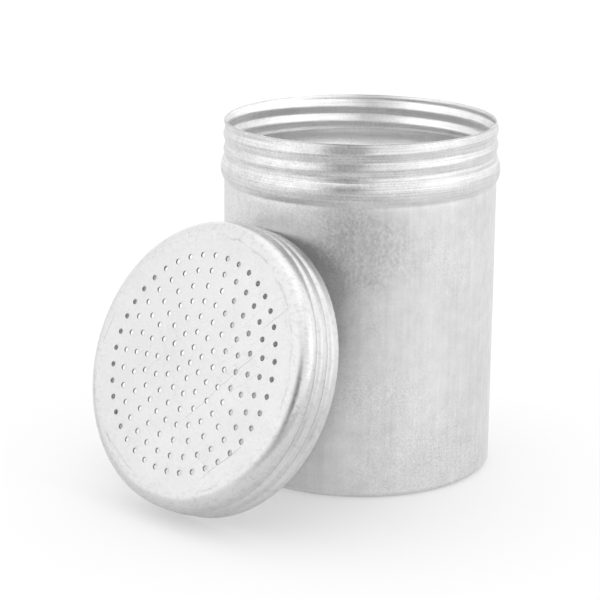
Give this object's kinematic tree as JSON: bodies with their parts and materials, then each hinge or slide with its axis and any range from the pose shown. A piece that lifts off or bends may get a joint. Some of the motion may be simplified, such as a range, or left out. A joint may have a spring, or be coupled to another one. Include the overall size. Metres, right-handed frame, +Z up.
{
  "type": "perforated dredge tin with screw lid",
  "caption": "Seamless drawn aluminium shaker tin with a rolled screw neck and a separate pierced screw lid leaning against it.",
  "frame": {"origin": "centre of the can's base", "axes": "+Z up the can's axis; the lid leans on the can from -Y, its pierced face turned to -Y and a little up"},
  "size_m": [0.0722, 0.1081, 0.09],
  "materials": {
    "can_aluminium": "dull aged aluminium, fine vertical drawing marks on the wall, turned lines on the neck",
    "lid_aluminium": "satin aged aluminium, lightly scratched and scuffed"
  },
  "bodies": {
    "can": {"canister": "can_aluminium"},
    "lid": {"shaker_lid": "lid_aluminium"}
  },
  "joints": [
    {"name": "lid_lift_away", "type": "slide", "parent": "can", "child": "lid", "axis": [0, -0.9245, 0.3811], "range_m": [0, 0.08]}
  ]
}
